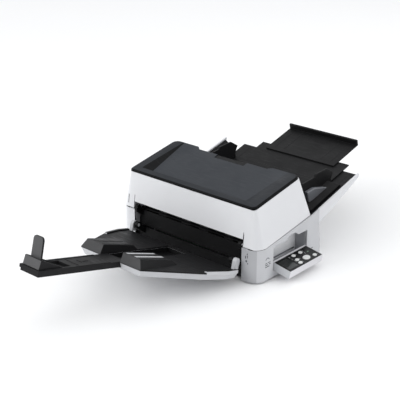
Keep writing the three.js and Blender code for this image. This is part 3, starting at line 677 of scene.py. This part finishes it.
def column_arc(sign, radius, angles):
    """Points round the front corner of the right (sign 1) or left (sign -1) column."""
    return [
        (sign * (COLUMN_CENTRE + radius * math.cos(a)), -COLUMN_CENTRE + radius * math.sin(a))
        for a in angles
    ]


def add_column_seams():
    """A dark strip in the joint round the top of each column, under the upper shell: painted shade in the gap."""
    turn = [math.radians(-90 + 10 * i) for i in range(10)]
    for sign, name in ((1, "right"), (-1, "left")):
        outline = column_arc(sign, 27.2, turn) + column_arc(sign, 24, reversed(turn))
        seam = Shapes()
        seam.prism(outline, "z", 83.9, 84.9)
        seam.piece(f"column_seam_{name}", BODY, GROOVE, "base", "housing_grey")


def add_side_clip():
    """The small dark catch on the right side, low down behind the panel."""
    clip = Shapes()
    clip.prism([(-12, 22), (-3, 25), (-3, 27.5), (-12, 24.5)], "x", HALF_WIDTH - 0.5, HALF_WIDTH + 0.15)
    clip.piece("side_clip_mark", BODY, GROOVE, "base", "housing_grey")


# ---- Rollers -----------------------------------------------------------------------------------------

TYRE_SPANS = [(-118, -92), (-42, -14), (14, 42), (92, 118)]
INNER_TYRES = TYRE_SPANS[1:3]
ROLLERS = {
    "pick_roller": INNER_TYRES,
    "feed_roller": TYRE_SPANS,
    "eject_roller": TYRE_SPANS,
    "brake_roller": INNER_TYRES,
    "feed_idler": TYRE_SPANS,
    "eject_idler": TYRE_SPANS,
}
DRIVEN_ROLLERS = ("pick_roller", "feed_roller", "eject_roller")
SHAFT_RADIUS = 3.5
CHAMFER = 0.7
TYRE_GROOVES = 6
PULLEY_X = (-169, -164)
PULLEY_RADIUS = 7.4


def tyre_profile(x0, x1, radius):
    """A rubber tyre with shallow grooves round it."""
    bottom = radius - 0.7
    profile = [(x0, 0), (x0, SHAFT_RADIUS), (x0, radius - 0.5), (x0 + 0.5, radius)]
    pitch = (x1 - x0 - 2) / TYRE_GROOVES
    for i in range(1, TYRE_GROOVES):
        x = x0 + 1 + i * pitch
        profile += [(x - 0.5, radius), (x - 0.2, bottom), (x + 0.2, bottom), (x + 0.5, radius)]
    return profile + [(x1 - 0.5, radius), (x1, radius - 0.5), (x1, SHAFT_RADIUS), (x1, 0)]


def chamfered_rod(x0, x1, radius, chamfer):
    """The profile of a rod with chamfered ends."""
    end = radius - chamfer
    return [(x0, 0), (x0, end), (x0 + chamfer, radius), (x1 - chamfer, radius), (x1, end), (x1, 0)]


def add_rollers():
    for node, spans in ROLLERS.items():
        low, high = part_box(node)
        centre = BODY.inverted() @ ((low + high) / 2)
        centre.x = 0
        radius = (high.z - low.z) / 2 / MM
        half = (high.x - low.x) / 2 / MM
        shaft = Shapes()
        shaft.turned(chamfered_rod(-half, half, SHAFT_RADIUS, CHAMFER), "x", centre)
        steel = shaft.piece(f"{node}_shaft", BODY, SHAFT, node, "steel")
        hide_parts(node)
        tyres = Shapes()
        for x0, x1 in spans:
            tyres.turned(tyre_profile(x0, x1, radius), "x", centre, 40)
        tyres.piece(f"{node}_tyres", BODY, TYRE, node, "rubber")
        if node in DRIVEN_ROLLERS:
            add_pulley(node, centre)


def add_pulley(node, centre):
    pulley = Shapes()
    pulley.turned(chamfered_rod(*PULLEY_X, PULLEY_RADIUS, 0.4), "x", centre)
    pulley.piece(f"{node}_pulley", BODY, INSERT_AND_SHADOW, node, "plastic_black", 0.2)


# ---- Rear connectors ---------------------------------------------------------------------------------


def add_connectors():
    """The mains inlet with its pins, the data port with its tongue, and the rocker switch."""
    dress("rear_connector_panel", BLACK, 0.5)
    dress("power_inlet", BLACK, 0.8)
    dress("usb_port", STEEL, 0.3)
    dress("power_switch", TRAY, 1.0, 3)
    pins = Shapes()
    for x, z in ((-103, 27), (-97, 31), (-91, 27)):
        pins.block(x - 1, x + 1, -3, 9, z - 2, z + 2)
    pins.piece("inlet_pins", BODY, BRASS, "base", "steel", 0.4)
    tongue = Shapes()
    tongue.block(-31, -25, -2, 10, 25.6, 28.2)
    tongue.piece("data_port_tongue", BODY, BLACK, "base", "plastic_black", 0.3)
    marks = Shapes()
    marks.block(-58.4, -57.6, 13.6, 13.95, 24, 28)
    marks.piece("switch_mark", BODY, KEY, "power_switch", "plastic_black")


SCREW_RADIUS = 3.0
SCREW_HEAD = [(0, 0), (0, SCREW_RADIUS), (-0.6, SCREW_RADIUS), (-1.1, SCREW_RADIUS * 0.75), (-1.3, 0)]


def add_underside():
    """The bottom plate with its domed screw heads, pressed ribs and a blank rating plate."""
    dress("bottom_plate", STEEL, 0.3)
    heads = Shapes()
    for x in (-200, -70, 70, 200):
        for y in (-165, -20):
            heads.turned(SCREW_HEAD, "z", (x, y, 4), 20)
    heads.piece("underside_screws", BODY, SHAFT, "base", "steel")
    ribs = Shapes()
    for y in (-130, -90, -50):
        ribs.slot(-150, 150, y, y + 6, 3.1, 4.2)
    ribs.piece("underside_ribs", BODY, STEEL, "base", "steel", 0.3)
    label = Shapes()
    label.block(-60, 20, -118, -62, 3.6, 4.1)
    label.piece("blank_rating_plate", BODY, KEY, "base", "housing_grey", 0.1)


# ---- Upper unit --------------------------------------------------------------------------------------


def cover_look(normal):
    """0 for the recess floor, which leans further forward than the rim; 1 for the rim and the recess's right
    wall, a darker copy as painted shade; 2 for the other walls and the edges, darker still as painted shade."""
    level_across = abs(normal.x) < 0.05
    if level_across and normal.z > 0.9 and normal.y < -0.215:
        return 0
    rim_top = level_across and normal.z > 0.95
    right_wall = normal.z > 0.5 and normal.x < -0.05
    return 1 if rim_top or right_wall else 2


def add_shell_grooves():
    """Dark strips on the shell's sloping front, as painted shade in the slot beside the exit and in the short
    joint on the left corner.
    """
    grooves = Shapes()
    grooves.prism([(-215.4, 90), (-212.0, 116), (-210.8, 116), (-214.2, 90)], "x", 171.8, 173.6)
    grooves.prism([(-214.4, 96), (-211.5, 118), (-209.8, 118), (-212.7, 96)], "x", -192.6, -191.2)
    grooves.piece("shell_groove_shadows", BODY, GROOVE, BODY_OF["upper_shell"], "shell_white")


def add_upper_unit():
    dress("upper_shell", WHITE, 1.0)
    add_shell_grooves()
    dress("top_cover", COVER, 1.5, 3, others=[COVER_RIM_SHADE, COVER_WALL_SHADE],
          where=lambda normal, centre: cover_look(normal))
    dress("release_lever", BLACK, 0.6)


# ---- Stacker -----------------------------------------------------------------------------------------

TRAY_TOP = -19
ARM_TOP = TRAY_TOP - 0.6
CHANNEL_HALF = 31.6


def on_lip(point, normal):
    """The front of the tray's two raised lips, which is drawn lighter as painted light."""
    return normal.y < -0.6 and point.y < -200


def on_black_part(point, normal):
    """The inside of the shell's channel, and the top and inner side of its raised rear corners."""
    in_channel = abs(point.x) < CHANNEL_HALF and point.z > -34 and point.y > -237
    on_rim = point.z > TRAY_TOP - 1 and (normal.z > 0.5 or normal.x * point.x < 0)
    return in_channel or on_rim


def add_stacker():
    to_stacker = STACKER.inverted()
    dress("stacker_tray", TRAY, 0.9, 2, others=[LIP_FRONT_LIGHT],
          where=lambda normal, centre: on_lip(to_stacker @ centre, normal))
    dress("stacker_shell", GREY, 1.4, 2, others=[BLACK],
          where=lambda normal, centre: on_black_part(to_stacker @ centre, normal))
    dress("stacker_hinge_right", GREY, 0.8)
    dress("stacker_hinge_left", GREY, 0.8)
    dress("stacker_arm", TRAY, 0.9, 2)
    # Their front-facing faces take painted light.
    for node, segments in (("stacker_tip", 2), ("stopper_flap", 3)):
        dress(node, TRAY, 1.0, segments, others=[TIP_FRONT_LIGHT], where=lambda normal, centre: normal.y < -0.4)


def add_lip_ribs():
    """Two ribs up each lip of the tray; those on the right one are light grey as painted highlights."""
    for name, sign, look in (("right", 1, PRINT_AND_HIGHLIGHT), ("left", -1, TRAY)):
        ribs = Shapes()
        for near, far in ((35, 42), (60, 68)):
            x0, x1 = sorted((sign * near, sign * far))
            ribs.prism([(-228, 0.2), (-140, -8.0), (-140, -6.9), (-228, 1.3)], "x", x0, x1)
        ribs.piece(f"lip_ribs_{name}", STACKER, look, "stacker", "plastic_black", 0.3)


def add_arm_rails():
    """Two low rails along the arm, a cross bar and a moulded arrow, all blacker than the arm; the rails are
    painted shade along its long edges.
    """
    rails = Shapes()
    bottom = ARM_TOP - 0.4
    for x0, x1 in ((-29, -25), (25, 29)):
        rails.slot(x0, x1, -448, -262, bottom, ARM_TOP + 1.1)
    rails.slot(-22, 22, -352, -350, bottom, ARM_TOP + 0.8)
    arrow = [(-9, -330), (9, -330), (3, -322), (3, -306), (-3, -306), (-3, -322)]
    rails.prism(arrow, "z", bottom, ARM_TOP + 0.8)
    rails.piece("arm_rails", STACKER, BLACK, "stacker_arm", "plastic_black", 0.2)


# ---- Rear chute --------------------------------------------------------------------------------------


def on_bed(point, normal):
    """The chute's inside: its bed, out to the rear edge, and the sloping faces beside it."""
    between_flanges = normal.z > 0.3 and abs(point.x) < 210.5
    rear_edge = abs(point.x) < 186.5 and point.y > 190
    return between_flanges or rear_edge


def add_chute():
    to_chute = CHUTE.inverted()
    dress("chute_shell", WHITE, 0.9, others=[BLACK],
          where=lambda normal, centre: on_bed(to_chute @ centre, normal))
    dress("chute_liner_right", BLACK, 0.5)
    dress("chute_liner_left", BLACK, 0.5)
    dress("lift_plate", BLACK, 0.6)
    add_side_guide("right", 1)
    add_side_guide("left", -1)
    add_lift_plate_runners()
    dress("chute_extension_inner", BLACK, 0.8)
    dress("chute_extension_outer", BLACK, 0.9)
    add_bed_ribs()
    add_extension_grips()


def add_side_guide(side, sign):
    """A side guide, with the grey grip in the hollow of its outer face."""
    dress(f"side_guide_{side}", BLACK, 0.9, 2)
    grip = Shapes()
    x0, x1 = sorted((sign * 155.9, sign * 167))
    grip.prism([(50, 12), (98, 6), (137, 5), (80, 36.5), (50, 41.5)], "x", x0, x1)
    grip.piece(f"guide_grip_{side}", CHUTE, INSERT_AND_SHADOW, f"side_guide_{side}", "plastic_black", 2.2, 3)


def rib_along(shapes, x, y0, y1, z0, z1):
    """A rib 3 wide, centred on x, that runs along the paper path."""
    shapes.slot(x - 1.5, x + 1.5, y0, y1, z0, z1)


def add_lift_plate_runners():
    runners = Shapes()
    for x in (-120, -72, -24, 24, 72, 120):
        rib_along(runners, x, 16, 150, -0.3, 0.35)
    runners.piece("lift_plate_runners", CHUTE, TRAY, "lift_plate", "plastic_black", 0.15)


def add_bed_ribs():
    bed = Shapes()
    for x in range(-160, 161, 40):
        rib_along(bed, x, 168, 230, -13.8, -13.1)
    bed.piece("bed_ribs", CHUTE, TRAY, "base", "plastic_black", 0.15)


def add_extension_grips():
    """Cross ribs for the fingers and four long ribs on the outer paper support."""
    grips = Shapes()
    for y in range(318, 339, 5):
        grips.slot(-30, 30, y, y + 2, -6.1, -5.3)
    for x in (-90, -60, 60, 90):
        rib_along(grips, x, 250, 338, -6.1, -5.4)
    grips.piece("extension_grips", CHUTE, TRAY, "extension_outer", "plastic_black", 0.15)


# ---- Operator panel ----------------------------------------------------------------------------------

FACE_TOP = 16
BUTTONS = [f"panel_button_{i}" for i in range(1, 6)] + ["panel_button_scan"]


def add_panel():
    # The housing's front-facing faces take painted shade.
    dress("panel_housing", PANEL_WHITE, 1.0, 3, others=[PANEL_FRONT_SHADE],
          where=lambda normal, centre: normal.y < -0.7)
    dress("panel_face", FACE, 0.25)
    dress("panel_screen", SCREEN, 0.3)
    for node in BUTTONS:
        dress(node, KEY, 0.9, 3)
    add_panel_marks()


def add_panel_marks():
    """A status lamp and small printed ticks that mean nothing."""
    z0, z1 = FACE_TOP + 0.15, FACE_TOP + 0.26
    ticks = Shapes()
    for x, y in ((11, -84), (12, -59), (27, -91), (39, -94), (39, -38), (20, -60)):
        ticks.slot(x - 2.2, x + 2.2, y - 0.4, y + 0.4, z0, z1)
    for x, y in ((7, -108), (16, -108), (25, -108)):
        ticks.slot(x, x + 6, y - 0.35, y + 0.35, z0, z1)
    ticks.piece("panel_ticks", PANEL, PRINT_AND_HIGHLIGHT, "operator_panel", "plastic_black")
    lamp = Shapes()
    lamp.slot(18.5, 21.5, -52, -46, z0 - 0.3, z1 + 0.3)
    lamp.piece("status_lamp", PANEL, LAMP, "operator_panel", "screen", 0.15)


# ---- Pieces that keep their CAD shape ----------------------------------------------------------------

KEPT_LOOKS = {
    "feed_motor": STEEL, "main_board": BOARD, "power_supply": STEEL, "drive_belt": TYRE,
    "frame_left": DARK_STEEL, "frame_right": DARK_STEEL,
}


def paint_kept_nodes():
    for node, piece in NODES.items():
        for slot in piece.material_slots:
            slot.material = KEPT_LOOKS.get(node, SLOT_LOOK[SLOT_OF[node]])


paint_kept_nodes()
add_camera()
add_studio()
add_base()
add_front_marks()
add_side_marks()
add_column_seams()
add_side_clip()
add_rollers()
add_connectors()
add_underside()
add_upper_unit()
add_stacker()
add_lip_ribs()
add_arm_rails()
add_chute()
add_panel()
